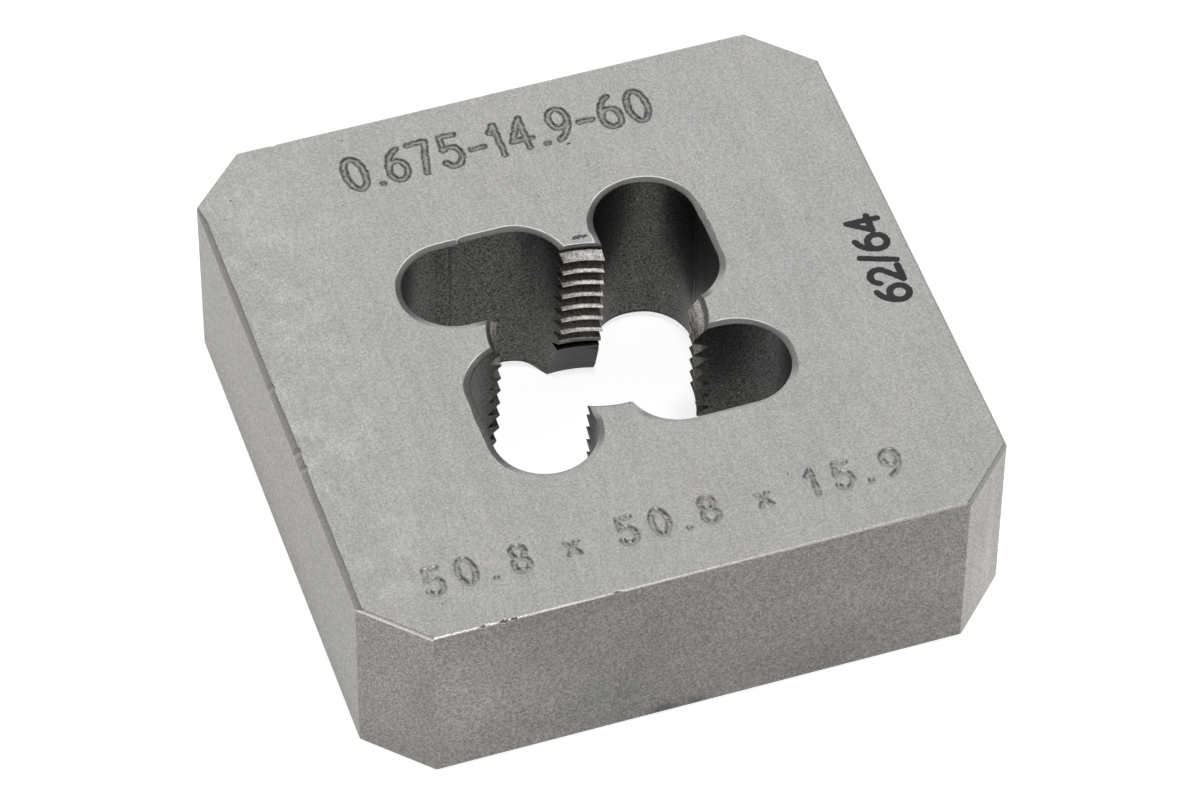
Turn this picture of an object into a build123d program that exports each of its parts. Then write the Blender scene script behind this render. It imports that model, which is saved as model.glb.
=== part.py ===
from build123d import *

import math
import os

# Solid square pipe die: one hardened steel block with a tapered thread and four chip flutes.
# Frame: +Z up along the thread, origin at the middle of the underside, +X right, +Y back.
# The throat, where the pipe enters, is at the underside. Lengths are in millimetres.

# Block
across_flats = 50.8
thickness = 15.875
corner_leg = 4.57
top_bevel = 0.2
worn_bevel = 0.45
bottom_bevel = 0.4

# Taper thread, cut right-handed, small end at the top
threads_per_inch = 18
taper_on_diameter = 1 / 16
crest_radius = 7.45
thread_height = 1.05
flank_angle = 30
first_crest_depth = 1.0
space_overrun = 0.03
seam_angle = 45
seam_overlap = 10

# Mouths of the bore
lip_radius = 8.3
lip_angle = 45
throat_radius = 9.15
throat_angle = 13.6

# Chip flutes: an obround for each land, turned about the bore
land_count = 4
flute_radius = 4.18
flute_offset = 7.03
flute_inner_reach = 4.07
flute_outer_reach = 9.03
break_width = 0.29
break_depth = 0.2
throat_break_depth = 0.35

inch = 25.4
pitch = inch / threads_per_inch
taper_slope = taper_on_diameter / 2
taper_angle = math.degrees(math.atan(taper_slope))
flank_slope = math.tan(math.radians(flank_angle))
lip_slope = math.tan(math.radians(lip_angle))
throat_slope = math.tan(math.radians(throat_angle))
crest_radius_below = crest_radius + thickness * taper_slope

# Heights at which the two mouths meet the cone of the tooth crests
throat_height = (throat_radius - crest_radius_below) / (throat_slope - taper_slope)
throat_top_radius = crest_radius_below - throat_height * taper_slope
lip_depth = (lip_radius - crest_radius) / (lip_slope + taper_slope)
lip_bottom_radius = crest_radius + lip_depth * taper_slope

# Tooth space: a sharp vee cut flat by the same amount at crest and root, whose mouth
# reaches a hair past the crests
vee_height = pitch / 2 / flank_slope
flat_width = pitch * (vee_height - thread_height) / vee_height / 2
mouth_width = pitch - flat_width + 2 * space_overrun * flank_slope

# The tooth space winds down from above the top face in separate turns. Each turn sets off
# in the gap between two lands, a seam angle past the left side, and ends a little beyond it.
# The back land, whose first crest gives the thread its place, is a quarter turn from the left.
quarter_turn = 90
back_turns = 1 + (quarter_turn - seam_angle) / 360
start_height = thickness - first_crest_depth + pitch / 2 + back_turns * pitch
start_radius = crest_radius + thread_height / 2 - (start_height - thickness) * taper_slope
turn_height = pitch * (360 + seam_overlap) / 360
turn_count = math.ceil(start_height / pitch)


def worn_rim_edges(rim):
    """Pick the left edge and the front right corner's edge from the rim of the top face."""
    left_edge = rim.sort_by(Axis.X)[0]
    corner_edge = rim.sort_by(lambda edge: edge.center().X - edge.center().Y)[-1]
    return [left_edge, corner_edge]


def flute_slots(radius):
    """Draw the flute outlines, one obround for each land, with this end radius."""
    middle = (flute_inner_reach + flute_outer_reach) / 2
    reach = flute_outer_reach - flute_inner_reach
    with PolarLocations(0, land_count):
        with Locations((middle, -flute_offset)):
            SlotCenterToCenter(reach, 2 * radius)


def tooth_space_turn(turn):
    """Sweep one turn of the tooth space, this many turns below the first one."""
    drop = turn * pitch
    with BuildPart() as tooth_space:
        with BuildLine() as thread_path:
            Helix(
                pitch,
                turn_height,
                start_radius + drop * taper_slope,
                center=(0, 0, start_height - drop),
                direction=(0, 0, -1),
                cone_angle=taper_angle,
            )
        path = thread_path.wire()
        with BuildSketch(Plane(origin=path @ 0, x_dir=(-1, 0, 0), z_dir=path % 0)):
            with BuildLine():
                Polyline(
                    (thread_height / 2, -flat_width / 2),
                    (thread_height / 2, flat_width / 2),
                    (-thread_height / 2 - space_overrun, mouth_width / 2),
                    (-thread_height / 2 - space_overrun, -mouth_width / 2),
                    close=True,
                )
            make_face()
        sweep(path=path, is_frenet=True)
    return tooth_space.part


tooth_spaces = [tooth_space_turn(turn) for turn in range(turn_count)]

with BuildPart() as pipe_die:
    # Block with its corners cut off
    with BuildSketch() as outline:
        Rectangle(across_flats, across_flats)
        chamfer(outline.vertices(), length=corner_leg)
    extrude(amount=thickness)

    # Edge bevels, wider on the two top edges that show most wear
    chamfer(pipe_die.faces().sort_by(Axis.Z)[0].edges(), length=bottom_bevel)
    rim = pipe_die.faces().sort_by(Axis.Z)[-1].edges()
    worn_edges = worn_rim_edges(rim)
    chamfer([edge for edge in rim if edge not in worn_edges], length=top_bevel)
    rim = pipe_die.faces().sort_by(Axis.Z)[-1].edges()
    chamfer(worn_rim_edges(rim), length=worn_bevel)

    # Bore at the tooth crests, with the throat below and the countersunk lip above
    with BuildSketch(Plane.XZ):
        with BuildLine():
            Polyline(
                (0, 0),
                (throat_radius, 0),
                (throat_top_radius, throat_height),
                (lip_bottom_radius, thickness - lip_depth),
                (lip_radius, thickness),
                (0, thickness),
                close=True,
            )
        make_face()
    revolve(axis=Axis.Z, mode=Mode.SUBTRACT)

    # Chip flutes right through, with their edges broken at both faces
    with BuildSketch():
        flute_slots(flute_radius)
    extrude(amount=thickness, mode=Mode.SUBTRACT)
    with BuildSketch(Plane.XY.offset(thickness)):
        flute_slots(flute_radius + break_width)
    top_break_angle = math.degrees(math.atan(break_width / break_depth))
    extrude(amount=-break_depth, taper=top_break_angle, mode=Mode.SUBTRACT)
    with BuildSketch():
        flute_slots(flute_radius + break_width)
    throat_break_angle = math.degrees(math.atan(break_width / throat_break_depth))
    extrude(amount=throat_break_depth, taper=throat_break_angle, mode=Mode.SUBTRACT)

    # Thread on the lands, turn by turn
    for tooth_space in tooth_spaces:
        add(tooth_space, rotation=(0, 0, -seam_angle), mode=Mode.SUBTRACT)

pipe_die.part.label = "pipe_die"

os.makedirs("parts", exist_ok=True)
export_step(pipe_die.part, "parts/pipe_die.step")
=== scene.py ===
"""Looks of the solid square pipe die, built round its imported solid.

The die is one closed mesh that stands for the node pipe_die. A grid winds round the bore and
its flutes, a second grid winds round the outside, and two flat faces join them. The marks,
nicks and tool traces are real shape in that mesh. Lengths are in metres.
"""
import math

import bpy
import numpy as np
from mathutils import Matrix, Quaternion, Vector
from mathutils.geometry import delaunay_2d_cdt


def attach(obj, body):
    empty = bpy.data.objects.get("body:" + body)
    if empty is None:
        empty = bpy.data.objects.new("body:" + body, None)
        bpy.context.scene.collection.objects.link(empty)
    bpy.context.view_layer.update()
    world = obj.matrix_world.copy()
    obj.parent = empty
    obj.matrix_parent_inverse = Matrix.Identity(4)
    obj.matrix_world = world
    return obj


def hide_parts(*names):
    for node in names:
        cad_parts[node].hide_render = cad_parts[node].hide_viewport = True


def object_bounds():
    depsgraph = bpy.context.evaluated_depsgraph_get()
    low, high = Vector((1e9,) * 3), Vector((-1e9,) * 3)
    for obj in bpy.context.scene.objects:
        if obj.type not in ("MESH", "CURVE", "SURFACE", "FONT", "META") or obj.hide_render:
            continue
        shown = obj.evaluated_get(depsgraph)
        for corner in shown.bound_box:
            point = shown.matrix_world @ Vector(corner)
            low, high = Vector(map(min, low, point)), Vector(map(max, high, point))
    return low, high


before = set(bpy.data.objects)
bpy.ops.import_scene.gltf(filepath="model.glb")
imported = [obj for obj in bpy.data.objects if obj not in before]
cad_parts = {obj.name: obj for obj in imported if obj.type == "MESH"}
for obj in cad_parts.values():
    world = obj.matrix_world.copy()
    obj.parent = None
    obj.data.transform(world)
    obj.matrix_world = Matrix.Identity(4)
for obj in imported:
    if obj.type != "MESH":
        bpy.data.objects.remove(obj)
cad_low, cad_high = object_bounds()

bl_info = {
    "name": "Solid pipe die",
    "version": (1, 0, 0),
    "blender": (4, 5, 0),
    "location": "3D View > Sidebar > Pipe die",
    "description": "Builds a square pipe die with its thread, flutes, marks and studio",
    "category": "Add Mesh",
}

MM = 0.001
NODE = "pipe_die"
BODY = "root"
LAND_COUNT = 4
QUARTER = math.pi / 2
EIGHTH = math.pi / 4

# Material slots of the die's mesh
FACE, SIDE, FLUTE, TOOTH, BREAK, BEVEL = range(6)


def length(name, description, default):
    """A size in metres, shown in the scene's own units."""
    return bpy.props.FloatProperty(
        name=name, description=description, default=default, min=0.0, precision=5, unit="LENGTH"
    )


def turn(name, description, degrees):
    """An angle, given in degrees and kept in radians."""
    return bpy.props.FloatProperty(
        name=name, description=description, default=math.radians(degrees), unit="ROTATION"
    )


def tone(name, description, grey):
    """A colour of steel or paint, as red, green and blue from 0 to 1."""
    return bpy.props.FloatVectorProperty(
        name=name, description=description, default=grey, size=3, min=0.0, max=1.0, subtype="COLOR"
    )


class BlockSizes(bpy.types.PropertyGroup):
    """The square block, its cut off corners and its edges."""

    across: length("Across flats", "Width of the square block", cad_high.x - cad_low.x)
    thickness: length("Thickness", "Height of the block along the thread", cad_high.z - cad_low.z)
    corner_leg: length("Corner leg", "Length cut off along each side at a corner", 4.57 * MM)
    top_bevel: length("Top bevel", "Leg of the bevel round the top face", 0.13 * MM)
    worn_bevel: length("Worn bevel", "Leg of the top bevel where it is widest", 0.47 * MM)
    bottom_bevel: length("Bottom bevel", "Leg of the bevel round the underside", 0.4 * MM)
    easing: length("Edge easing", "Length over which each edge is rounded off", 0.055 * MM)
    raised_lip: length("Raised lip", "Steel pushed up beside a stamped stroke", 0.016 * MM)


class ThreadSizes(bpy.types.PropertyGroup):
    """The taper thread and the two mouths of the bore."""

    pitch: length("Pitch", "Distance from one tooth to the next", 25.4 * MM / 18)
    taper: bpy.props.FloatProperty(
        name="Taper", description="Growth of the diameter for each unit of length", default=1 / 16
    )
    crest_radius: length("Crest radius", "Radius at the tooth crests at the top face", 7.45 * MM)
    height: length("Thread height", "Depth of a tooth space", 1.05 * MM)
    flank_angle: turn("Flank angle", "Lean of each tooth flank", 30)
    first_crest: length("First crest", "Depth of the back land's first crest", 1.0 * MM)
    lip_radius: length("Lip radius", "Radius of the countersunk lip at the top face", 8.3 * MM)
    lip_angle: turn("Lip angle", "Lean of the countersunk lip", 45)
    lip_growth: length("Lip growth", "Extra radius of the lip on the right land", 0.35 * MM)
    throat_radius: length("Throat radius", "Radius of the throat at the underside", 9.48 * MM)
    throat_angle: turn("Throat angle", "Lean of the throat", 15.5)


class FluteSizes(bpy.types.PropertyGroup):
    """The four chip flutes, each a slot turned about the bore."""

    radius: length("End radius", "Radius of each end of a flute", 4.0 * MM)
    offset: length("Offset", "Distance of a flute's middle line from the bore's axis", 7.03 * MM)
    inner_reach: length("Inner reach", "Place of the inner end's centre on that line", 4.07 * MM)
    outer_reach: length("Outer reach", "Place of the outer end's centre on that line", 9.03 * MM)
    break_width: length("Break width", "Width of the broken edge at the top face", 0.47 * MM)
    break_depth: length("Break depth", "Depth of the broken edge at the top face", 0.1 * MM)
    throat_width: length("Throat break width", "Width of the broken edge at the underside", 0.6 * MM)
    throat_break: length("Throat break depth", "Depth of the broken edge at the underside", 0.7 * MM)


class MarkTexts(bpy.types.PropertyGroup):
    """Plain numbers stamped and printed on the top face."""

    back: bpy.props.StringProperty(
        name="Back row", description="Numbers stamped along the back edge", default="0.675-14.9-60"
    )
    front: bpy.props.StringProperty(
        name="Front row", description="Sizes stamped along the front edge", default="50.8 x 50.8 x 15.9"
    )
    print: bpy.props.StringProperty(
        name="Print", description="Numbers printed along the right edge", default="62/64"
    )


class SteelColours(bpy.types.PropertyGroup):
    """Colours of the finishes."""

    ground: tone("Ground face", "Freshly ground top face", (0.50, 0.495, 0.48))
    side: tone("Side", "Older ground sides", (0.25, 0.243, 0.232))
    flute: tone("Flute wall", "Dull milled wall of a flute", (0.09, 0.088, 0.083))
    tooth: tone("Tooth", "Cut flank of a tooth", (0.47, 0.45, 0.42))
    ink: tone("Ink", "Printed numbers", (0.008, 0.008, 0.008))


class StudioSettings(bpy.types.PropertyGroup):
    """Floor, light and camera."""

    floor: tone("Floor", "Pale floor", (0.9, 0.9, 0.9))
    glow: bpy.props.FloatProperty(
        name="Floor glow", description="Light that the lit floor gives off", default=0.82, min=0.0
    )
    camera_place: bpy.props.FloatVectorProperty(
        name="Camera place", description="Where the camera stands", size=3, subtype="TRANSLATION",
        default=(-104.73 * MM, -306.18 * MM, 380.79 * MM),
    )
    camera_aim: bpy.props.FloatVectorProperty(
        name="Camera aim", description="Point in the middle of the picture", size=3, subtype="TRANSLATION",
        default=(-2.10 * MM, -7.35 * MM, 15.875 * MM),
    )
    camera_roll: turn("Camera roll", "Lean of the camera about its own axis", 0.635)
    lens: bpy.props.FloatProperty(
        name="Lens", description="Focal length in millimetres for a picture 36 mm wide", default=193.3
    )


class PipeDieSettings(bpy.types.PropertyGroup):
    """Everything that a user would change."""

    block: bpy.props.PointerProperty(type=BlockSizes)
    thread: bpy.props.PointerProperty(type=ThreadSizes)
    flute: bpy.props.PointerProperty(type=FluteSizes)
    marks: bpy.props.PointerProperty(type=MarkTexts)
    colours: bpy.props.PointerProperty(type=SteelColours)
    studio: bpy.props.PointerProperty(type=StudioSettings)


# Curves and noise

def smooth_step(value, low, high):
    """Rise from 0 at low to 1 at high, flat at both ends: 3t squared less 2t cubed."""
    t = np.clip((value - low) / (high - low), 0.0, 1.0)
    return t * t * (3.0 - 2.0 * t)


def bump(value, middle, reach):
    """A bell of height 1 at the middle: e to the minus square of the distance over the reach."""
    return np.exp(-(((value - middle) / reach) ** 2))


def lattice_noise(x, y, cell, seed):
    """Seeded noise from -1 to 1: random numbers on a square lattice, eased from one to the next."""
    size = 64
    table = np.random.default_rng(seed).uniform(-1.0, 1.0, (size, size))
    across, along = x / cell, y / cell
    column, row = np.floor(across).astype(int), np.floor(along).astype(int)
    u, v = smooth_step(across - column, 0, 1), smooth_step(along - row, 0, 1)
    column, row = column % size, row % size
    right, above = (column + 1) % size, (row + 1) % size
    below_mix = table[column, row] * (1 - u) + table[right, row] * u
    above_mix = table[column, above] * (1 - u) + table[right, above] * u
    return below_mix * (1 - v) + above_mix * v


def eased_bevel(width, depth, easing):
    """Section of a bevel as rows of (across, down), from the wall up to the flat face.

    The straight bevel from (0, depth) to (width, 0) meets the wall and the face in quadratic
    curves of the easing's length, and one more row on each side keeps the flats flat.
    """
    wall, face = np.array([0.0, depth]), np.array([width, 0.0])
    run = (face - wall) / np.hypot(width, depth) * easing
    down, out = np.array([0.0, easing]), np.array([easing, 0.0])
    t = np.linspace(0.0, 1.0, 4)[:, None]
    foot = (1 - t) ** 2 * (wall + down) + 2 * t * (1 - t) * wall + t**2 * (wall + run)
    brow = (1 - t) ** 2 * (face - run) + 2 * t * (1 - t) * face + t**2 * (face + out)
    return np.vstack([wall + 2 * down, foot, brow, face + 2 * out])


# Bore and flutes

# Depths below the top face over which the tooth spaces begin, and heights over which they end
SPACE_START = (0.24 * MM, 0.3 * MM)
SPACE_END = (2.7 * MM, 3.5 * MM)

# Height of the lowest row that follows the teeth, and reach of such rows above the first crest
LOWEST_TOOTH_ROW = 1.3 * MM
ABOVE_FIRST_CREST = 0.06 * MM

# Share of the underside's broken edge that is gone beside the lands, and of its rounding kept
UNDER_FADING = 0.85
UNDER_ROUNDING = 0.3

# The two cuts of each flute (right, back, left, front): how much wider the inner one is, how far
# beyond the quarter circle their seam lies, and how far the cusp at the seam stands out
INNER_CUTS = (0.03 * MM, 0.09 * MM, 0.15 * MM, 0.02 * MM)
SEAM_PLACES = (2.9 * MM, 3.6 * MM, 3.3 * MM, 3.1 * MM)
CUSPS = (0.03 * MM, 0.12 * MM, 0.29 * MM, 0.03 * MM)

# Columns of a flute's grid beside its cusp and beside the groove that follows it
CUSP_COLUMNS = MM * np.array([-0.42, -0.28, -0.16, -0.07, 0.0, 0.07, 0.16, 0.28, 0.42])
GROOVE_COLUMNS = MM * np.array([0.6, 0.7, 0.77, 0.84, 0.91, 0.98, 1.08])


def crest_flat(thread):
    """Width of the flat on a tooth's crest: half a pitch less the run of a flank."""
    return thread.pitch / 2 - thread.height * math.tan(thread.flank_angle)


def crest_radius(block, thread, height):
    """Radius of the cone on which the tooth crests lie."""
    return thread.crest_radius + (block.thickness - height) * thread.taper / 2


def mouth_radii(block, thread, height, growth=0.0):
    """Radius of the lip's cone, with this much growth, and of the throat's cone at a height."""
    lip = thread.lip_radius + growth - (block.thickness - height) * math.tan(thread.lip_angle)
    return lip, thread.throat_radius - height * math.tan(thread.throat_angle)


def bore_radius(block, thread, angle, height):
    """Radius of the lands' surface at an angle and a height.

    It is the largest of three: the cone of the crests plus the tooth space, whose depth rises
    with the distance from the nearest crest line of the helix, the lip's cone and the throat's.
    Towards the right the lip is wider and no tooth space cuts it above the first crest.
    """
    rightward = np.clip(np.cos(angle), 0.0, 1.0) ** 4
    depth = block.thickness - height
    first = block.thickness - thread.first_crest + thread.pitch * (angle - QUARTER) / math.tau
    turns = (height - first) / thread.pitch
    from_crest = np.abs(turns - np.round(turns)) * thread.pitch
    space = (from_crest - crest_flat(thread) / 2) / math.tan(thread.flank_angle)
    space = np.clip(space, 0.0, thread.height)
    space = space * smooth_step(depth, *SPACE_START) * smooth_step(height, *SPACE_END)
    space = space * (1 - smooth_step(turns, 0.0, 0.1) * smooth_step(rightward, 0.3, 0.5))
    lip, throat = mouth_radii(block, thread, height, thread.lip_growth * rightward)
    return np.maximum(np.maximum(crest_radius(block, thread, height) + space, lip), throat)


def tooth_rows(block, thread, low, high):
    """Heights between low and high at each crest, root and third of a flank of the back land."""
    flat = crest_flat(thread)
    flank = thread.pitch / 2 - flat
    steps = np.array([flat, flank / 3, flank / 3, flank / 3] * 2)
    downs = np.concatenate([[0.0], np.cumsum(steps)[:-1]]) - flat / 2
    crests = block.thickness - thread.first_crest - thread.pitch * np.arange(-1, 13)
    heights = np.sort((crests[:, None] - downs).ravel())
    return heights[(heights > low) & (heights < high)]


def brow_rounding(bevel, width, depth, easing):
    """How far the rounded end of an eased bevel beside the flat face stands off its straight line."""
    straight = width * np.clip(1 - bevel[:, 1] / depth, 0, 1)
    return np.where(bevel[:, 1] < 2 * easing, bevel[:, 0] - straight, 0.0)


def bore_rows(block, thread, flute):
    """Rows up the bore: height, widening of the flutes, widening of the lands, and fading.

    The fading is the share of a row's widening that is gone beside the lands: the broken edge at
    the underside fades out there.
    """
    top = block.thickness - block.raised_lip
    under = eased_bevel(flute.throat_width, flute.throat_break, block.easing)[::-1]
    over = eased_bevel(flute.break_width, flute.break_depth, block.easing)
    low, high = under[-1, 1], top - over[0, 1]
    first = block.thickness - thread.first_crest + ABOVE_FIRST_CREST
    heights = np.concatenate([
        under[:, 1],
        np.linspace(low, LOWEST_TOOTH_ROW, 6)[1:-1],
        tooth_rows(block, thread, LOWEST_TOOTH_ROW, first),
        np.linspace(first, high, 15)[:-1],
        top - over[:, 1],
    ])
    middle = np.zeros(len(heights) - len(under) - len(over))
    widening = np.concatenate([under[:, 0], middle, over[:, 0]])
    rounding = np.concatenate([
        UNDER_ROUNDING * brow_rounding(under, flute.throat_width, flute.throat_break, block.easing),
        middle,
        brow_rounding(over, flute.break_width, flute.break_depth, block.easing),
    ])
    fading = np.concatenate([np.full(len(under), UNDER_FADING), middle, np.zeros(len(over))])
    return heights, widening, rounding, fading


def land_shift(thread, angle, land):
    """How far the rows of a land lie above those of the back land, so that they follow its teeth."""
    wrapped = 1.0 if land == LAND_COUNT - 1 else 0.0
    return thread.pitch * ((angle - QUARTER) / math.tau - wrapped)


def corner_angles(flute, radius, flute_radius):
    """Angles where a circle about the bore meets a land's own flute and the next flute.

    The cutting corner lies on the flute's straight side, whose distance from the axis is the
    offset less the flute's radius. The heel lies on the round inner end of the next flute, where
    the triangle of the two centres and the corner gives the angle by the cosine rule.
    """
    cutting = -np.arcsin((flute.offset - flute_radius) / radius)
    centre = math.hypot(flute.inner_reach, flute.offset)
    lean = math.atan2(-flute.offset, flute.inner_reach) + QUARTER
    cosine = (radius**2 + centre**2 - flute_radius**2) / (2 * radius * centre)
    return cutting, lean - np.arccos(cosine)


def tooth_wear(land, height, share):
    """Extra radius where a tooth is chipped at its cutting edge and where crests vary a little."""
    chips = lattice_noise(height, np.full_like(height, land * 7.0 * MM), 0.9 * MM, 11 + land)
    chips = 0.11 * MM * smooth_step(chips, 0.25, 0.9) * (1 - share) ** 6
    return chips + 0.005 * MM * lattice_noise(height, share * 3 * MM, 0.35 * MM, 21 + land)


def land_grid(sizes, land, rows):
    """Points of one threaded land, a row for each height and a column for each share of its width."""
    block, thread, flute = sizes.block, sizes.thread, sizes.flute
    heights, widening, rounding, fading = rows
    flute_radius = flute.radius + widening * (1 - fading)
    share = np.linspace(0.0, 1.0, 13)
    weight = row_weight(block, heights)
    ends = []
    for side in (0, 1):
        angle = np.full_like(heights, land * QUARTER - 0.2)
        for _ in range(5):
            height = heights + land_shift(thread, angle, land) * weight
            radius = bore_radius(block, thread, angle, height) + rounding
            radius = radius + tooth_wear(land, height, np.full_like(height, side)) * weight
            angle = corner_angles(flute, radius, flute_radius)[side] + land * QUARTER
        ends.append(angle)
    angle = ends[0][:, None] * (1 - share) + ends[1][:, None] * share
    height = heights[:, None] + land_shift(thread, angle, land) * weight[:, None]
    radius = bore_radius(block, thread, angle, height) + rounding[:, None]
    radius = radius + tooth_wear(land, height, np.broadcast_to(share, height.shape)) * weight[:, None]
    return np.stack([radius * np.cos(angle), radius * np.sin(angle), height], -1)


def row_weight(block, heights):
    """How far each row follows the teeth: not at all at both faces, fully between them."""
    rising = smooth_step(heights, 0.55 * MM, 2.5 * MM)
    falling = smooth_step(block.thickness - heights, 0.32 * MM, 0.94 * MM)
    return rising * falling


def seam_place(flute, number):
    """Place along a flute's outline of the seam between its two cuts."""
    return quarter_arc(flute) + SEAM_PLACES[number]


def flute_trace(flute, place, widening, number):
    """Tool trace of one flute: how far its wall stands outside the plain slot at each place.

    The inner half was cut a little wider than the outer half and ends in a soft step at the seam
    between the two cuts. In the broken edge, a thin cusp of steel still stands at that seam, and
    a faint groove follows it.
    """
    seam = seam_place(flute, number)
    swell = smooth_step(place, 1.6 * MM, 6.0 * MM)
    swell = swell * (1 - smooth_step(place, seam - 0.9 * MM, seam + 0.9 * MM))
    groove = 0.04 * MM * bump(place, seam + 0.84 * MM, 0.11 * MM)
    cusp = CUSPS[number] * widening / flute.break_width
    return INNER_CUTS[number] * swell + groove - cusp * np.exp(-np.abs(place - seam) / (0.13 * MM))


def quarter_arc(flute):
    """Length of a quarter of a flute's round end."""
    return flute.radius * QUARTER


def flute_grid(sizes, number, rows, heel, cutting):
    """Points of one flute's wall between the heel of a land and the next land's cutting edge.

    A place is a length along the slot's outline: a quarter circle about the inner centre, the
    straight outer side, a half circle about the outer centre and the straight side back.
    Most columns keep their places, and a few at each end close up to the teeth. The broken edge
    wavers a little, except beside the teeth.
    """
    flute, turned = sizes.flute, number * QUARTER
    heights, widening, _, fading = rows
    quarter, reach = quarter_arc(flute), flute.outer_reach - flute.inner_reach
    local_heel, local_cut = turn_points(heel, -turned), turn_points(cutting, -turned)
    angle = np.arctan2(local_heel[:, 1] + flute.offset, local_heel[:, 0] - flute.inner_reach)
    start = flute.radius * (np.mod(angle, math.tau) - math.pi)
    straight = 3 * quarter + reach
    end = straight + flute.outer_reach - local_cut[:, 0]
    first, last = 2.7 * MM, straight - 0.35 * MM
    seam, margin = seam_place(flute, number), 0.1 * MM
    near_cusp, near_groove = seam + CUSP_COLUMNS, seam + GROOVE_COLUMNS
    steady = np.linspace(first, last, 46)
    steady = steady[(steady < near_cusp[0] - margin) | (steady > near_groove[-1] + margin)]
    steady = np.sort(np.concatenate([steady, near_cusp, near_groove]))
    share = np.linspace(0.0, 1.0, 6)[1:-1]
    place = np.hstack([
        start[:, None] * (1 - share) + first * share,
        np.broadcast_to(steady, (len(heights), len(steady))),
        last * (1 - share) + end[:, None] * share,
    ])
    window = smooth_step(place, first, 5 * MM) * (1 - smooth_step(place, last - 3 * MM, last))
    waver = 0.16 * lattice_noise(place, np.full_like(place, number * MM), 1.7 * MM, 31 + number)
    widening = widening[:, None] * (1 - fading[:, None] * (1 - window))
    radius = flute.radius + widening * (1 + waver * window)
    radius = radius + flute_trace(flute, place, widening, number)
    centre = flute.inner_reach + np.clip(place - quarter, 0, reach) - np.clip(place - straight, 0, None)
    bend = np.minimum(place, quarter) + np.clip(place - quarter - reach, 0, 2 * quarter)
    angle = bend / flute.radius - math.pi
    x, y = centre + radius * np.cos(angle), radius * np.sin(angle) - flute.offset
    along = np.linspace(0.0, 1.0, place.shape[1] + 2)[1:-1]
    height = heel[:, 2:3] * (1 - along) + cutting[:, 2:3] * along
    return turn_points(np.stack([x, y, height], -1), turned)


def turn_points(points, angle):
    """Points turned about the bore's axis."""
    x, y, z = points[..., 0], points[..., 1], points[..., 2]
    cosine, sine = math.cos(angle), math.sin(angle)
    return np.stack([x * cosine - y * sine, x * sine + y * cosine, z], -1)


def bore_grid(sizes):
    """The whole inner surface as a grid that closes on itself, and the slot number of each column."""
    rows = bore_rows(sizes.block, sizes.thread, sizes.flute)
    lands = [land_grid(sizes, land, rows) for land in range(LAND_COUNT)]
    strips, columns = [], []
    for land in range(LAND_COUNT):
        following = (land + 1) % LAND_COUNT
        strips.append(lands[land])
        columns += [TOOTH] * (lands[land].shape[1] - 1)
        wall = flute_grid(sizes, following, rows, lands[land][:, -1], lands[following][:, 0])
        strips.append(wall)
        columns += [FLUTE] * (wall.shape[1] + 1)
    return np.concatenate(strips, axis=1), np.array(columns), rows


# Outside of the block

# Its eight sides are numbered anticlockwise: right, back right, back, back left, left, front left,
# front, front right. These are numbers of sides.
RIGHT, BACK, LEFT, FRONT, FRONT_RIGHT = 0, 2, 4, 6, 7

# Leg of the top bevel on the right and front right
RIGHT_BEVEL = 0.2 * MM

# How steep each top bevel is, drop over width, and its tone beside the steel's, which is painted
# light for how each bevel catches the light
BEVEL_SLOPES = (1.0, 1.0, 0.5, 0.6, 1.0, 1.7, 0.5, 2.4)
BEVEL_PAINTED_LIGHT = (1.4, 1.6, 2.4, 2.0, 1.55, 2.6, 3.6, 1.05)

# Length over which each upright corner of the block is rounded
SOFTNESS = 0.16 * MM

# Small nicks along the top edges: side, share of its length, reach and depth
EDGE_NICKS = (
    (FRONT, 0.095, 0.5 * MM, 0.10 * MM), (FRONT, 0.130, 0.4 * MM, 0.16 * MM),
    (FRONT, 0.148, 0.3 * MM, 0.13 * MM), (FRONT, 0.341, 0.5 * MM, 0.10 * MM),
    (LEFT, 0.46, 0.5 * MM, 0.10 * MM), (LEFT, 0.62, 0.5 * MM, 0.12 * MM),
    (LEFT, 0.66, 0.4 * MM, 0.10 * MM), (BACK, 0.93, 0.4 * MM, 0.10 * MM),
)

# Tone of each side beside the others: partly its own finish, partly painted light and shade
# for how light falls on that side
SIDE_TONE_AND_PAINTED_LIGHT = (1.1, 1.1, 1.0, 1.0, 1.25, 1.05, 0.95, 1.5)

# Cloudy patches on the sides: side, place along it, height, reach along and up, all lengths in
# millimetres, and change of tone
SIDE_CLOUDS = (
    (6, 8.3, 7.0, 6.0, 3.6, 0.13), (6, 2.6, 8.0, 3.5, 5.5, 0.2), (6, 6.2, 15.2, 9.0, 1.2, -0.10),
    (6, 25.8, 2.0, 11.0, 4.0, -0.10), (6, 39.6, 9.0, 5.0, 6.0, 0.05),
    (5, 5.8, 9.0, 1.2, 3.5, -0.12), (5, 2.3, 5.0, 1.6, 3.0, 0.06),
    (4, 20.8, 1.0, 22.0, 2.5, -0.10), (7, 2.6, 4.0, 3.0, 4.0, 0.08),
    (7, 1.0, 7.0, 0.5, 6.0, -0.16), (7, 3.1, 9.0, 0.5, 5.0, -0.12), (7, 4.4, 5.0, 0.5, 5.0, 0.12),
    (7, 5.6, 10.0, 0.6, 5.0, -0.1), (6, 17.8, 0.5, 1.1, 0.5, -0.6), (6, 20.4, 0.6, 0.8, 0.4, -0.5),
)


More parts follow.
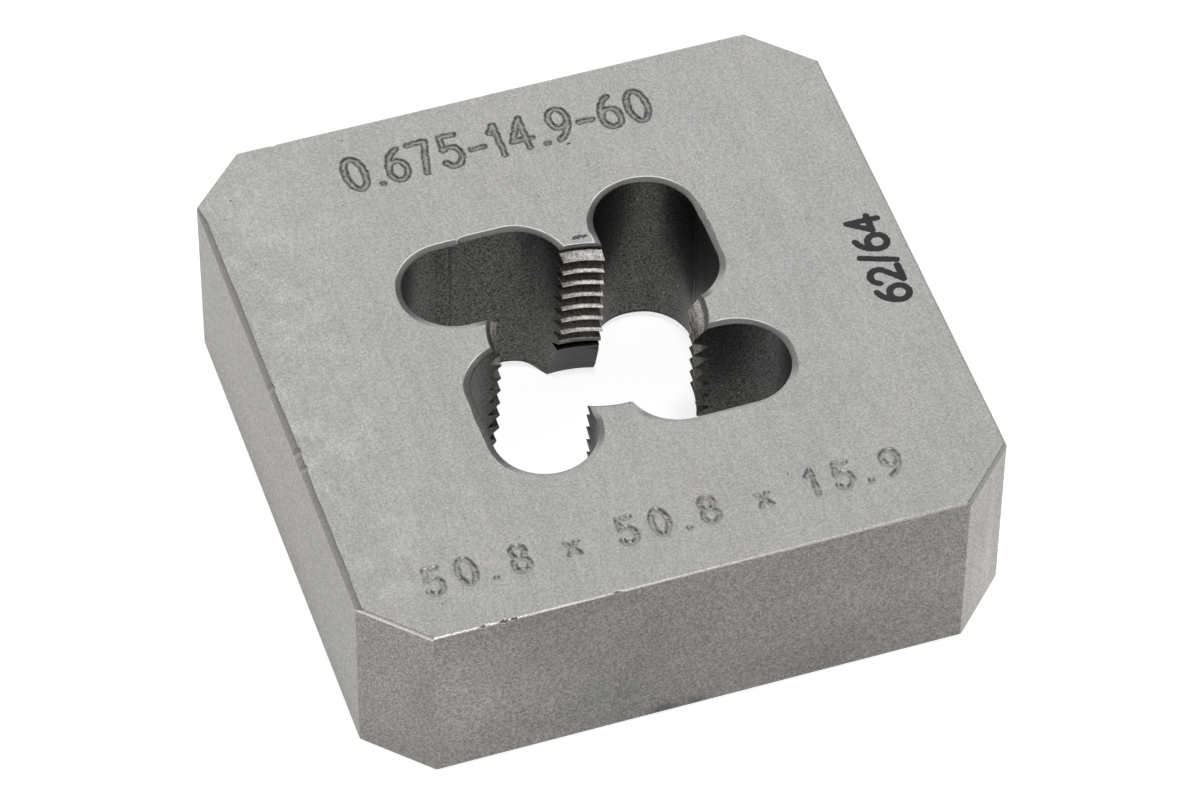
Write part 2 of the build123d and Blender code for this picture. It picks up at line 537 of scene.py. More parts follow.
def top_bevel_legs(block, side, share):
    """Leg of the top bevel along one side of the octagon.

    It is widest on the left, where it narrows towards the back corner, and grows along the front.
    """
    width = np.full_like(share, block.top_bevel)
    if side in (RIGHT, FRONT_RIGHT):
        width[:] = RIGHT_BEVEL
    if side == LEFT:
        width[:] = block.worn_bevel - MM * (0.02 + 0.07 * (1 - smooth_step(share, 0.05, 0.25)))
        width *= 0.35 + 0.65 * smooth_step(share, 0.0, 0.04)
    if side == FRONT:
        width += 0.05 * MM * smooth_step(share, 0.6, 1.0)
    waver = lattice_noise(share * 42 * MM, np.full_like(share, side * 3 * MM), 1.9 * MM, 41)
    return width * (1 + 0.1 * waver)


def side_places(side, length_of_side):
    """Shares along one side of the octagon: even steps, closer at both corners and at the nicks."""
    ends = np.array([0.0, 1 / 3, 2 / 3, 1.0, 1.6]) * SOFTNESS / length_of_side
    steps = np.linspace(ends[-1], 1 - ends[-1], int(length_of_side / (0.5 * MM)))
    places = [ends, steps, 1 - ends[1:]]
    for nick_side, middle, reach, _ in EDGE_NICKS:
        if nick_side == side:
            margin = 1.3 * reach / length_of_side
            places.append(np.linspace(middle - margin, middle + margin, 9))
    return np.unique(np.round(np.concatenate(places), 6))


def side_tone(side, along, height):
    """Lightness of a side: its own tone, which is partly painted light and shade for how light falls on that
    side, with soft bells for its cloudy patches.
    """
    tone_here = np.full_like(height, SIDE_TONE_AND_PAINTED_LIGHT[side])
    for cloud_side, place, middle, reach, rise, change in SIDE_CLOUDS:
        if cloud_side == side:
            bells = bump(along, place * MM, reach * MM), bump(height, middle * MM, rise * MM)
            tone_here *= 1 + change * bells[0] * bells[1]
    return tone_here


def corner_place(own, other):
    """Length along a side from its middle to its corner, from both sides' distances to the axis."""
    return (other - own * math.cos(EIGHTH)) / math.sin(EIGHTH)


def side_row(side, own, other, share, inset, corners, height):
    """One row of one side of the octagon, with rounded corners.

    The corners hold this side's inset at its first and last corner and the neighbours' there.
    """
    start, finish, start_next, finish_next = corners
    begin = -corner_place(own - start, other - start_next)
    along = begin * (1 - share) + corner_place(own - finish, other - finish_next) * share
    to_corner = np.minimum(share, 1 - share) * 2 * corner_place(own, other)
    rounding = np.clip(SOFTNESS - to_corner, 0, None) ** 2 * math.tan(EIGHTH / 2) / (2 * SOFTNESS)
    out = own - inset - rounding
    normal, run = side * EIGHTH, side * EIGHTH + QUARTER
    x = out * math.cos(normal) + along * math.cos(run)
    y = out * math.sin(normal) + along * math.sin(run)
    return np.stack([x, y, height + np.zeros_like(x)], -1)


def shell_grid(sizes):
    """The outside as rows down an eight-sided ring, and the slot number of each row of faces.

    A side's distance from the axis is its own less the row's inset. Two neighbours meet at a
    length along the side of (next distance less this distance times the cosine of their turn)
    over its sine, so the corners stay mitred whatever the two bevels are.
    """
    block = sizes.block
    over = eased_bevel(1.0, 1.0, 0.0)[::-1]
    ease = eased_bevel(1.0, 1.0, 0.55 * block.easing)[::-1] - over
    wall_rows = np.linspace(0.0, 1.0, 14)[1:-1]
    top = block.thickness - block.raised_lip
    flat = block.across / 2
    corner = (2 * flat - block.corner_leg) / math.sqrt(2)
    rings, tones = [], []
    for side in range(8):
        own, other = (flat, corner) if side % 2 == 0 else (corner, flat)
        side_length = 2 * corner_place(own, other)
        share = side_places(side, side_length)[:-1]
        leg = top_bevel_legs(block, side, share)
        ends = ((side, 0.0), (side, 1.0), ((side - 1) % 8, 1.0), ((side + 1) % 8, 0.0))
        end_legs = [top_bevel_legs(block, which, np.array([at]))[0] for which, at in ends]
        nick = np.zeros_like(share)
        for nick_side, middle, reach, depth in EDGE_NICKS:
            if nick_side == side:
                nick += depth * bump(share * side_length, middle * side_length, reach / 2)

        rows = []
        for (across, down), (across_ease, down_ease) in zip(over, ease):
            inset = across * leg + across_ease + nick * across
            corners = [across * end_leg + across_ease for end_leg in end_legs]
            height = top - BEVEL_SLOPES[side] * (down * leg + down_ease) - nick * down
            rows.append(side_row(side, own, other, share, inset, corners, height))
        ceiling, floor = rows[-1][:, 2], block.bottom_bevel + 2 * block.easing
        for drop in wall_rows:
            height = ceiling * (1 - drop) + floor * drop
            rows.append(side_row(side, own, other, share, 0.0, [0.0] * 4, height))
        for across, down in eased_bevel(block.bottom_bevel, block.bottom_bevel, block.easing):
            rows.append(side_row(side, own, other, share, across, [across] * 4, down))
        rings.append(np.array(rows))
        tone_rows = side_tone(side, share * side_length + np.zeros((len(rows), 1)), rings[-1][:, :, 2])
        # The bevel rows take the bevel's painted light in place of the side's tone
        tone_rows[:len(over) - 1] = BEVEL_PAINTED_LIGHT[side]
        tones.append(tone_rows)
    bands = [BEVEL] * (len(over) - 1) + [SIDE] * (len(wall_rows) + 1)
    bands += [BEVEL] * (rings[0].shape[0] - len(bands) - 1)
    bands[0] = bands[-1] = FACE
    return np.concatenate(rings, axis=1), np.array(bands), np.concatenate(tones, axis=1)


# Numbers

def arc(x, y, across, up, start, stop):
    """Points on an ellipse about (x, y), from one angle in degrees to another."""
    angle = np.radians(np.linspace(start, stop, 2 + int(abs(stop - start) / 12)))
    return np.stack([x + across * np.cos(angle), y + up * np.sin(angle)], -1)


def line(*points):
    """Points of a broken line."""
    return np.array(points, float)


def numeral_strokes():
    """Each sign as its width and its strokes, drawn in a cell one unit high."""
    loop = arc(0.3, 0.31, 0.3, 0.31, 0, 360)
    stem = arc(0.66, 0.31, 0.66, 0.72, 180, 108)
    flag = line((0.55, 1.0), (0.1, 1.0), (0.05, 0.56))
    return {
        "0": (0.62, [arc(0.31, 0.5, 0.31, 0.5, 0, 360)]),
        "1": (0.34, [line((0.02, 0.78), (0.24, 1.0), (0.24, 0.0))]),
        "2": (0.6, [np.vstack([arc(0.3, 0.7, 0.29, 0.3, 165, -35), [(0.0, 0.0), (0.6, 0.0)]])]),
        "4": (0.62, [line((0.46, 0.0), (0.46, 1.0), (0.0, 0.3), (0.64, 0.3))]),
        "5": (0.6, [np.vstack([flag, arc(0.28, 0.32, 0.31, 0.32, 125, -150)])]),
        "6": (0.6, [loop, stem]),
        "7": (0.58, [line((0.0, 1.0), (0.58, 1.0), (0.2, 0.0))]),
        "8": (0.6, [arc(0.3, 0.76, 0.25, 0.24, 0, 360), arc(0.3, 0.27, 0.3, 0.27, 0, 360)]),
        "9": (0.6, [np.array([0.6, 1.0]) - loop, np.array([0.6, 1.0]) - stem]),
        ".": (0.08, [line((0.03, 0.04), (0.05, 0.04))]),
        "-": (0.45, [line((0.02, 0.42), (0.43, 0.42))]),
        "/": (0.36, [line((0.0, -0.04), (0.36, 1.04))]),
        "x": (0.4, [line((0.0, 0.15), (0.4, 0.6)), line((0.4, 0.15), (0.0, 0.6))]),
        " ": (0.3, []),
    }


def stroke_pieces(text, height, narrow, spacing, start, direction, unevenness, seed):
    """Short straight pieces, as pairs of end points, of a row of signs on the top face.

    Each sign is scaled to the height, narrowed by a share, moved along the row, and shifted and
    turned a little, as a punch held by hand leaves it.
    """
    random = np.random.default_rng(seed)
    signs = numeral_strokes()
    direction = math.radians(direction)
    unit = np.array([math.cos(direction), math.sin(direction)])
    upward = np.array([-unit[1], unit[0]])
    pieces, along = [], 0.0
    for sign in text:
        width, strokes = signs[sign]
        shift = random.normal(0.0, unevenness, 2)
        lean = random.normal(0.0, unevenness / height * 1.2)
        for stroke in strokes:
            x, y = stroke[:, 0] * height * narrow, stroke[:, 1] * height
            x, y = x - y * lean + shift[0] + along, y + x * lean + shift[1]
            points = np.array(start) + x[:, None] * unit + y[:, None] * upward
            pieces.append(np.hstack([points[:-1], points[1:]]))
        along += width * height * narrow + spacing
    return np.vstack(pieces)


def distance_to(pieces, points):
    """Distance of each point from the nearest piece: to its foot on the piece, kept between the ends."""
    start, run = pieces[:, :2], pieces[:, 2:] - pieces[:, :2]
    square = np.maximum((run**2).sum(1), 1e-18)
    nearest = np.full(len(points), np.inf)
    for block_start in range(0, len(points), 4000):
        part = points[block_start:block_start + 4000, None, :] - start
        foot = np.clip((part * run).sum(2) / square, 0.0, 1.0)
        gap = part - foot[..., None] * run
        nearest[block_start:block_start + 4000] = np.sqrt((gap**2).sum(2).min(1))
    return nearest


# Rows of numbers: name, height, narrowing, spacing, start, direction in degrees, unevenness, seed
MARK_ROWS = (
    ("back", 3.25 * MM, 0.74, 0.78 * MM, (-13.4 * MM, 18.75 * MM), 0.6, 0.06 * MM, 4),
    ("front", 2.45 * MM, 0.82, 1.3 * MM, (-19.8 * MM, -21.4 * MM), 0.4, 0.06 * MM, 5),
    ("print", 2.42 * MM, 1.0, 0.55 * MM, (23.75 * MM, -4.9 * MM), 88.5, 0.02 * MM, 6),
)


def grid_near(pieces, reach, step):
    """Points of a square grid that lie within the reach of the pieces."""
    ends = pieces.reshape(-1, 2)
    low, high = ends.min(0) - reach, ends.max(0) + reach
    x, y = np.meshgrid(np.arange(low[0], high[0], step), np.arange(low[1], high[1], step))
    points = np.stack([x.ravel(), y.ravel()], -1)
    return points[distance_to(pieces, points) < reach]


def stamp_relief(distance, half_width, depth, crown, lip, flat_share, points, seed):
    """Height of a stamped stroke: a rough floor, higher along its middle, and a raised lip beside it.

    The floor is flat out to a share of the half width and its walls end at 1.15. The crown takes
    a share of the depth away from the middle, as a bell, and the lip is a bell outside the wall.
    """
    rough = 1 + 0.4 * lattice_noise(points[:, 0], points[:, 1], 0.15 * MM, seed)
    floor = -depth * rough * (1 - smooth_step(distance, flat_share * half_width, 1.15 * half_width))
    floor = floor * (1 - crown * bump(distance, 0.0, 0.5 * half_width))
    uneven = 0.65 + 0.5 * lattice_noise(points[:, 0], points[:, 1], 0.6 * MM, seed + 1)
    return floor + lip * uneven * bump(distance, 1.35 * half_width, 0.3 * half_width)


# Dents in the top face, as short strokes from one place to another
FACE_DENTS = MM * np.array([
    (1.22, 8.80, 1.34, 8.90), (1.40, 8.82, 1.50, 8.74), (1.62, 8.92, 1.80, 8.88),
    (1.84, 8.84, 1.95, 8.72), (2.12, 8.80, 2.18, 8.76), (3.85, 18.35, 3.95, 18.38),
])

# Reach and step of the fine grids round the back row, the front row, the print and the dents, and
# how far these stay from the bore and from the outer edges
MARK_GRIDS = (
    (0.68 * MM, 0.09 * MM), (0.66 * MM, 0.085 * MM), (0.75 * MM, 0.085 * MM), (0.25 * MM, 0.07 * MM),
)
BORE_MARGIN = 0.07 * MM
EDGE_MARGIN = 0.6 * MM

# Depth below the top face at which the teeth's material begins
TOOTH_START = 0.27 * MM

# Tone of each flute's wall, right, back, left, front, as painted light and shade for how light
# falls into each flute, and the angle by which they lie back from the lands
FLUTE_PAINTED_LIGHT = (0.9, 0.88, 0.97, 0.66)
FLUTE_LAG = 0.82


def face_triangles(points, inner_count, outer_count):
    """Triangles between an inner and an outer loop of points, with any further points inside."""
    inner = [(i, (i + 1) % inner_count) for i in range(inner_count)]
    outer = [(inner_count + i, inner_count + (i + 1) % outer_count) for i in range(outer_count)]
    made = delaunay_2d_cdt([Vector(p) for p in points / MM], inner + outer, [], 0, 1e-7)
    if len(made[0]) != len(points):
        raise RuntimeError("two points of a flat face fall together")
    came_from = np.array([origin[0] for origin in made[3]])
    triangles = came_from[np.array(made[2])]
    middle = points[triangles].mean(1)
    inner_loop, outer_loop = points[:inner_count], points[inner_count:inner_count + outer_count]
    return triangles[inside_loop(outer_loop, middle) & ~inside_loop(inner_loop, middle)]


def inside_loop(loop, points):
    """Whether each point lies in a closed loop: an odd number of its edges cross the line to the right."""
    ahead = np.roll(loop, -1, 0)
    y = points[:, 1:2]
    spans = (loop[:, 1] > y) != (ahead[:, 1] > y)
    rise = np.where(ahead[:, 1] == loop[:, 1], 1.0, ahead[:, 1] - loop[:, 1])
    crossing = loop[:, 0] + (y - loop[:, 1]) * (ahead[:, 0] - loop[:, 0]) / rise
    return ((spans & (crossing > points[:, 0:1])).sum(1) % 2) == 1


def grid_quads(rows, columns, first):
    """Corner numbers of the faces of a grid whose columns close on themselves."""
    row, column = np.meshgrid(np.arange(rows - 1), np.arange(columns), indexing="ij")
    ahead = (column + 1) % columns
    here, above = row * columns, (row + 1) * columns
    corners = [here + column, here + ahead, above + ahead, above + column]
    return first + np.stack(corners, -1).reshape(-1, 4)


def make_mesh(name, points, quads, triangles, quad_slots, triangle_slots):
    """A mesh from arrays of points, four-cornered faces and triangles, each with its material slot."""
    mesh = bpy.data.meshes.new(name)
    mesh.vertices.add(len(points))
    mesh.vertices.foreach_set("co", points.astype(np.float32).ravel())
    corners = np.concatenate([quads.ravel(), triangles.ravel()])
    sizes = np.concatenate([np.full(len(quads), 4), np.full(len(triangles), 3)])
    mesh.loops.add(len(corners))
    mesh.loops.foreach_set("vertex_index", corners.astype(np.int32))
    mesh.polygons.add(len(sizes))
    mesh.polygons.foreach_set("loop_start", np.concatenate([[0], np.cumsum(sizes)[:-1]]).astype(np.int32))
    mesh.polygons.foreach_set("material_index", np.concatenate([quad_slots, triangle_slots]).astype(np.int32))
    mesh.update(calc_edges=True)
    if mesh.validate():
        raise RuntimeError(f"{name} has faces that had to be mended")
    return mesh


def add_piece(name, data):
    """An object in the scene for a finished mesh, a light or a camera, at the origin."""
    piece = bpy.data.objects.new(name, data)
    bpy.context.scene.collection.objects.link(piece)
    return piece


def placed(count, first, values, elsewhere=1.0):
    """This many numbers: the values from the first place on, and one number elsewhere."""
    whole = np.full(count, elsewhere)
    whole[first:first + len(values)] = values
    return whole


def bore_slots(block, flute, columns, heights, top):
    """Slot of each face of the bore: its column's, the broken edge's near the top, or the face's."""
    slots = np.tile(columns, (len(heights) - 1, 1))
    break_foot = flute.break_depth + 1.1 * block.easing
    below_top = np.where(slots == FLUTE, break_foot, TOOTH_START)
    slots = np.where(heights[:-1, None] > top - below_top, BREAK, slots)
    slots[[0, -1]] = FACE
    return slots.ravel()


def mark_relief(block, flat, strokes):
    """Height of the top face's points over it, and each one's distance to the marks in millimetres.

    The distances are those to deep stamps and dents, to shallow stamps and to print.
    """
    back, front, printed = (distance_to(pieces, flat) for pieces in strokes)
    ragged = lattice_noise(flat[:, 0], flat[:, 1], 0.3 * MM, 71)
    back, front = np.abs(back + 0.06 * MM * ragged), np.abs(front + 0.04 * MM * ragged)
    dent = np.abs(distance_to(FACE_DENTS, flat) + 0.05 * MM * ragged)
    relief = stamp_relief(back, 0.29 * MM, 0.11 * MM, 0.75, 0.014 * MM, 0.6, flat, 51)
    relief += stamp_relief(front, 0.27 * MM, 0.095 * MM, 0.0, 1.8 * block.raised_lip, 0.1, flat, 61)
    relief += stamp_relief(dent, 0.1 * MM, 0.07 * MM, 0.0, 0.014 * MM, 0.6, flat, 81)
    distances = (np.minimum(back, dent + 0.19 * MM) / MM, front / MM, printed / MM)
    return np.minimum(relief, block.raised_lip), [np.minimum(each, 1.0) for each in distances]


def break_painted_light(outward):
    """Painted highlight on the rim and painted light and shade on the broken edge, from the way each column
    faces: the rim is lit on the far sides, and the edge is darker facing left and lighter facing the front.
    """
    rim = 0.05 + 0.95 * smooth_step(outward[:, 1], 0.3, 0.8)
    leftward = smooth_step(-outward[:, 0], 0.5, 1.0)
    frontward = smooth_step(-outward[:, 1], 0.3, 0.75)
    return rim, (1 - 0.45 * leftward) * (1 + frontward)


def tooth_painted_shade(block, thread, points):
    """Lightness of the lands, painted light and shade: painted shade deep in the tooth spaces, on the throat
    and in a line under the rim, and painted light on the right land's lip.
    """
    height, radius = points[:, 2], np.hypot(points[:, 0], points[:, 1])
    lip, throat = mouth_radii(block, thread, height)
    crest = crest_radius(block, thread, height)
    depth = radius - np.maximum(np.maximum(crest, lip), throat)
    # Painted shade deep in the tooth spaces
    light = 1 - 0.5 * smooth_step(depth, 0.3 * MM, 0.6 * MM)
    # Painted shade on the throat
    light *= 1 - 0.955 * smooth_step(throat - crest, 0.1 * MM, 0.38 * MM)
    # Painted light on the right land's lip
    rightward = np.clip(points[:, 0] / radius, 0.0, 1.0) ** 4
    light *= 1 + 0.7 * rightward * smooth_step(lip - crest, 0.0, 0.06 * MM)
    # Painted shadow in a thin line under the rim
    return light * (1 - 0.85 * bump(block.thickness - height, 0.3 * MM, 0.05 * MM))


def flute_painted_shade(points):
    """Lightness of the flutes' walls, painted light and shade: each flute's own for how light falls into it,
    and painted shade at the foot.
    """
    number = np.round((np.arctan2(points[:, 1], points[:, 0]) + FLUTE_LAG) / QUARTER).astype(int)
    light = 1 - 0.6 * (1 - smooth_step(points[:, 2], 0.75 * MM, 0.95 * MM))
    return light * np.array(FLUTE_PAINTED_LIGHT)[number % LAND_COUNT]


def die_mesh(sizes):
    """The closed mesh of the die with its marks, and the attributes that its materials read."""
    block = sizes.block
    bore, columns, rows = bore_grid(sizes)
    shell, bands, shell_tone_and_painted_light = shell_grid(sizes)
    strokes = [stroke_pieces(getattr(sizes.marks, which), *row) for which, *row in MARK_ROWS]
    inside = np.vstack([
        grid_near(pieces, reach, step)
        for pieces, (reach, step) in zip([*strokes, FACE_DENTS], MARK_GRIDS)
    ])
    inside = inside[~near_loop(bore[-1, :, :2], inside, BORE_MARGIN)]
    inside = inside[np.abs(inside).max(1) < block.across / 2 - EDGE_MARGIN]

    bore_rings, bore_count = bore.shape[:2]
    shell_rings, shell_count = shell.shape[:2]
    bore_points, shell_points = bore.reshape(-1, 3), shell.reshape(-1, 3)
    top = block.thickness - block.raised_lip
    relief, distances = mark_relief(block, inside, strokes)
    face_points = np.column_stack([inside, np.full(len(inside), top)])
    points = np.vstack([bore_points, shell_points, face_points])
    shell_first, face_first = len(bore_points), len(bore_points) + len(shell_points)
    around_bore, around_shell = np.arange(bore_count), shell_first + np.arange(shell_count)
    top_loops = np.concatenate([
        around_bore + (bore_rings - 1) * bore_count,
        around_shell,
        np.arange(face_first, len(points)),
    ])
    under_loops = np.concatenate([around_bore, around_shell + (shell_rings - 1) * shell_count])
    top_faces = top_loops[face_triangles(points[top_loops, :2], bore_count, shell_count)]
    under_faces = under_loops[face_triangles(points[under_loops, :2], bore_count, shell_count)]
    points[face_first:, 2] += relief

    bore_quads = grid_quads(bore_rings, bore_count, 0)
    shell_quads = grid_quads(shell_rings, shell_count, shell_first)[:, ::-1]
    triangles = np.vstack([top_faces, under_faces[:, ::-1]])
    slots = bore_slots(block, sizes.flute, columns, rows[0], top)
    mesh = make_mesh(
        "die_body", points, np.vstack([bore_quads, shell_quads]), triangles,
        np.concatenate([slots, np.repeat(bands, shell_count)]), np.full(len(triangles), FACE),
    )

    # Painted highlight along the far rims, and painted light and shade on the broken edges
    outward = bore[-1, :, :2] - bore[bore_rings // 2, :, :2]
    outward /= np.linalg.norm(outward, axis=1)[:, None]
    rim, painted_break_light = break_painted_light(outward)
    rim = (bump(rows[0], top, 0.007 * MM)[:, None] * rim).ravel()
    count = len(points)
    # Painted light and shade for the sides, the bevels and the broken edges
    side = placed(count, shell_first, shell_tone_and_painted_light.ravel())
    side[:shell_first] = np.tile(painted_break_light, bore_rings)
    tones = {
        "stamp_distance": placed(count, face_first, distances[0]),
        "shallow_distance": placed(count, face_first, distances[1]),
        "ink_distance": placed(count, face_first, distances[2]),
        "rim": placed(count, 0, rim, 0.0),
        "side_tone": side,
        "tooth_light": placed(count, 0, tooth_painted_shade(block, sizes.thread, bore_points)),
        "foot_light": placed(count, 0, flute_painted_shade(bore_points)),
    }
    for name, values in tones.items():
        mesh.attributes.new(name, "FLOAT", "POINT").data.foreach_set("value", values.astype(np.float32))
    return mesh


def near_loop(loop, points, margin):
    """Whether each point lies within a closed loop or closer to it than the margin."""
    pieces = np.hstack([loop, np.roll(loop, -1, 0)])
    return inside_loop(loop, points) | (distance_to(pieces, points) < margin)


# Materials

def shader_node(tree, kind, values=None, **settings):
    """A node with its settings and the values of its unlinked inputs."""
    made = tree.nodes.new(kind)
    for name, value in settings.items():
        setattr(made, name, value)
    for name, value in (values or {}).items():
        made.inputs[name].default_value = value
    made.location = (len(tree.nodes) * 40, -(len(tree.nodes) % 7) * 120)
    return made


def new_group(name, inputs, outputs):
    """An empty node group with number or vector inputs and number or colour outputs."""
    tree = bpy.data.node_groups.new(name, "ShaderNodeTree")
    for label, kind, value in inputs:
        socket = tree.interface.new_socket(name=label, in_out="INPUT", socket_type=kind)
        if value is not None:
            socket.default_value = value
    for label, kind in outputs:
        tree.interface.new_socket(name=label, in_out="OUTPUT", socket_type=kind)
    return tree, tree.nodes.new("NodeGroupInput"), tree.nodes.new("NodeGroupOutput")


def noise(tree, place, **values):
    """Noise in space, from 0 to 1."""
    made = shader_node(tree, "ShaderNodeTexNoise", values)
    tree.links.new(place, made.inputs["Vector"])
    return made.outputs["Fac"]


def colour_ramp(tree, value, places, colours):
    """A colour that goes from the first to the second as a value goes from place to place."""
    ramp = shader_node(tree, "ShaderNodeValToRGB")
    for element, place, colour in zip(ramp.color_ramp.elements, places, colours):
        element.position = place
        element.color = (*colour, 1.0)
    tree.links.new(value, ramp.inputs["Fac"])
    return ramp.outputs["Color"]


def grinding_group():
    """Long fine lines, as a grinding wheel leaves them: noise stretched along one direction."""
    tree, inlet, outlet = new_group(
        "grinding_lines",
        [("Place", "NodeSocketVector", None), ("Stretch", "NodeSocketVector", (1.0, 1.0, 1.0))],
        [("Lines", "NodeSocketFloat"), ("Streaks", "NodeSocketFloat")],
    )
    link = tree.links.new
    stretched = shader_node(tree, "ShaderNodeVectorMath", operation="MULTIPLY")
    link(inlet.outputs["Place"], stretched.inputs[0])
    link(inlet.outputs["Stretch"], stretched.inputs[1])
    fine = noise(tree, stretched.outputs[0], Scale=6000.0, Detail=3.0, Roughness=0.6)
    broad = noise(tree, stretched.outputs[0], Scale=900.0, Detail=4.0, Roughness=0.7)
    link(fine, outlet.inputs["Lines"])
    link(broad, outlet.inputs["Streaks"])


def mottle_group():
    """Soft clouds with faint warm and cool tints, and a fine even speckle."""
    tree, inlet, outlet = new_group(
        "mottle",
        [("Place", "NodeSocketVector", None), ("Cloud scale", "NodeSocketFloat", 120.0)],
        [("Cloud", "NodeSocketFloat"), ("Speckle", "NodeSocketFloat"), ("Tint", "NodeSocketColor")],
    )
    link, place = tree.links.new, inlet.outputs["Place"]
    cloud = noise(tree, place, Detail=5.0, Roughness=0.62, Distortion=0.4)
    link(inlet.outputs["Cloud scale"], cloud.node.inputs["Scale"])
    speckle = noise(tree, place, Scale=6200.0, Detail=1.0, Roughness=0.9)
    tint = noise(tree, place, Scale=95.0, Detail=3.0)
    cool, warm = (0.99, 0.995, 1.01), (1.01, 1.0, 0.985)
    link(cloud, outlet.inputs["Cloud"])
    link(speckle, outlet.inputs["Speckle"])
    link(colour_ramp(tree, tint, (0.3, 0.7), (cool, warm)), outlet.inputs["Tint"])


def spots_group():
    """Scattered small spots: cells of a Voronoi pattern, few of them kept, each a soft dot.

    A cell is kept where its red is less than the share, and its dot is as wide as its green says.
    """
    tree, inlet, outlet = new_group(
        "dark_spots",
        [("Place", "NodeSocketVector", None), ("Spot scale", "NodeSocketFloat", 700.0),
         ("Share", "NodeSocketFloat", 0.1)],
        [("Spots", "NodeSocketFloat")],
    )
    link = tree.links.new
    cells = shader_node(tree, "ShaderNodeTexVoronoi")
    colour = shader_node(tree, "ShaderNodeSeparateColor")
    link(inlet.outputs["Place"], cells.inputs["Vector"])
    link(inlet.outputs["Spot scale"], cells.inputs["Scale"])
    link(cells.outputs["Color"], colour.inputs[0])
    kept = combined(tree, "LESS_THAN", colour.outputs["Red"], inlet.outputs["Share"])
    width = combined(tree, "MULTIPLY", colour.outputs["Green"], 0.34)
    dot = combined(tree, "SUBTRACT", width, cells.outputs["Distance"])
    dot = combined(tree, "MULTIPLY", dot, 7.0)
    dot.node.use_clamp = True
    link(combined(tree, "MULTIPLY", dot, kept), outlet.inputs["Spots"])


def group_node(tree, group, place, values=None):
    """A node group placed in a material, reading the object's own coordinates."""
    made = shader_node(tree, "ShaderNodeGroup", node_tree=bpy.data.node_groups[group])
    for name, value in (values or {}).items():
        made.inputs[name].default_value = value
    tree.links.new(place, made.inputs["Place"])
    return made


def give(tree, value, socket):
    """Link a value to a socket if it comes from a node, or else write it there."""
    if isinstance(value, bpy.types.NodeSocket):
        tree.links.new(value, socket)
    else:
        socket.default_value = value


def mixed(tree, amount, first, second, blend="MIX"):
    """A colour mix of two colours or sockets by a number or a socket."""
    made = shader_node(tree, "ShaderNodeMix", data_type="RGBA", blend_type=blend)
    for value, number in ((amount, 0), (first, 6), (second, 7)):
        give(tree, value, made.inputs[number])
    return made.outputs[2]


def spread(tree, value, low, high, to_low, to_high):
    """A number carried from one range to another, kept inside it."""
    made = shader_node(
        tree, "ShaderNodeMapRange",
        {"From Min": low, "From Max": high, "To Min": to_low, "To Max": to_high},
    )
    tree.links.new(value, made.inputs["Value"])
    return made.outputs["Result"]


def combined(tree, operation, first, second):
    """Two numbers or sockets through one sum."""
    made = shader_node(tree, "ShaderNodeMath", operation=operation)
    give(tree, first, made.inputs[0])
    give(tree, second, made.inputs[1])
    return made.outputs[0]


def attribute(tree, name):
    """The number that the mesh holds under this name."""
    return shader_node(tree, "ShaderNodeAttribute", attribute_name=name).outputs["Fac"]


class Steel:
    """One steel material in the making: its tree, its shader and its shared effects."""

    def __init__(self, name, colour, stretch, cloud_scale, roughness):
        self.material = bpy.data.materials.new(name)
        self.material.use_nodes = True
        self.tree = self.material.node_tree
        self.shader = self.tree.nodes["Principled BSDF"]
        self.shader.inputs["Metallic"].default_value = 1.0
        self.place = shader_node(self.tree, "ShaderNodeTexCoord").outputs["Object"]
        self.lines = group_node(self.tree, "grinding_lines", self.place, {"Stretch": stretch})
        self.mottle = group_node(self.tree, "mottle", self.place, {"Cloud scale": cloud_scale})
        self.colour = mixed(self.tree, 1.0, (*colour, 1.0), self.mottle.outputs["Tint"], "MULTIPLY")
        self.roughness = spread(self.tree, self.mottle.outputs["Cloud"], 0.3, 0.7, *roughness)
        self.height = None

    def value(self, name):
        """The number of this name, from the lines, the mottle or the mesh."""
        for group in (self.lines, self.mottle):
            if name in group.outputs:
                return group.outputs[name]
        return attribute(self.tree, name)

    def spots(self, scale, share):
        """Mask of scattered spots: this many cells to the metre, and this share of them kept."""
        values = {"Spot scale": scale, "Share": share}
        return group_node(self.tree, "dark_spots", self.place, values).outputs["Spots"]

    def shade(self, value, low, high, dark, light):
        """Darken or lighten the colour as a value, or the value of a name, goes from low to high."""
        if isinstance(value, str):
            value = self.value(value)
        factor = spread(self.tree, value, low, high, dark, light)
        grey = shader_node(self.tree, "ShaderNodeCombineColor")
        for channel in grey.inputs:
            self.tree.links.new(factor, channel)
        self.colour = mixed(self.tree, 1.0, self.colour, grey.outputs[0], "MULTIPLY")

    def stain(self, mask, colour):
        """Cover the colour with another where the mask is 1."""
        self.colour = mixed(self.tree, mask, self.colour, (*colour, 1.0))

    def raise_by(self, value, amount):
        """Add a value times an amount in metres to the height of the fine relief."""
        part = combined(self.tree, "MULTIPLY", value, amount)
        self.height = part if self.height is None else combined(self.tree, "ADD", self.height, part)

    def finish(self):
        """Link the colour, roughness and relief to the shader."""
        link = self.tree.links.new
        link(self.colour, self.shader.inputs["Base Color"])
        link(self.roughness, self.shader.inputs["Roughness"])
        if self.height is not None:
            relief = shader_node(self.tree, "ShaderNodeBump", {"Strength": 1.0, "Distance": 1.0})
            link(self.height, relief.inputs["Height"])
            link(relief.outputs["Normal"], self.shader.inputs["Normal"])
        return self.material


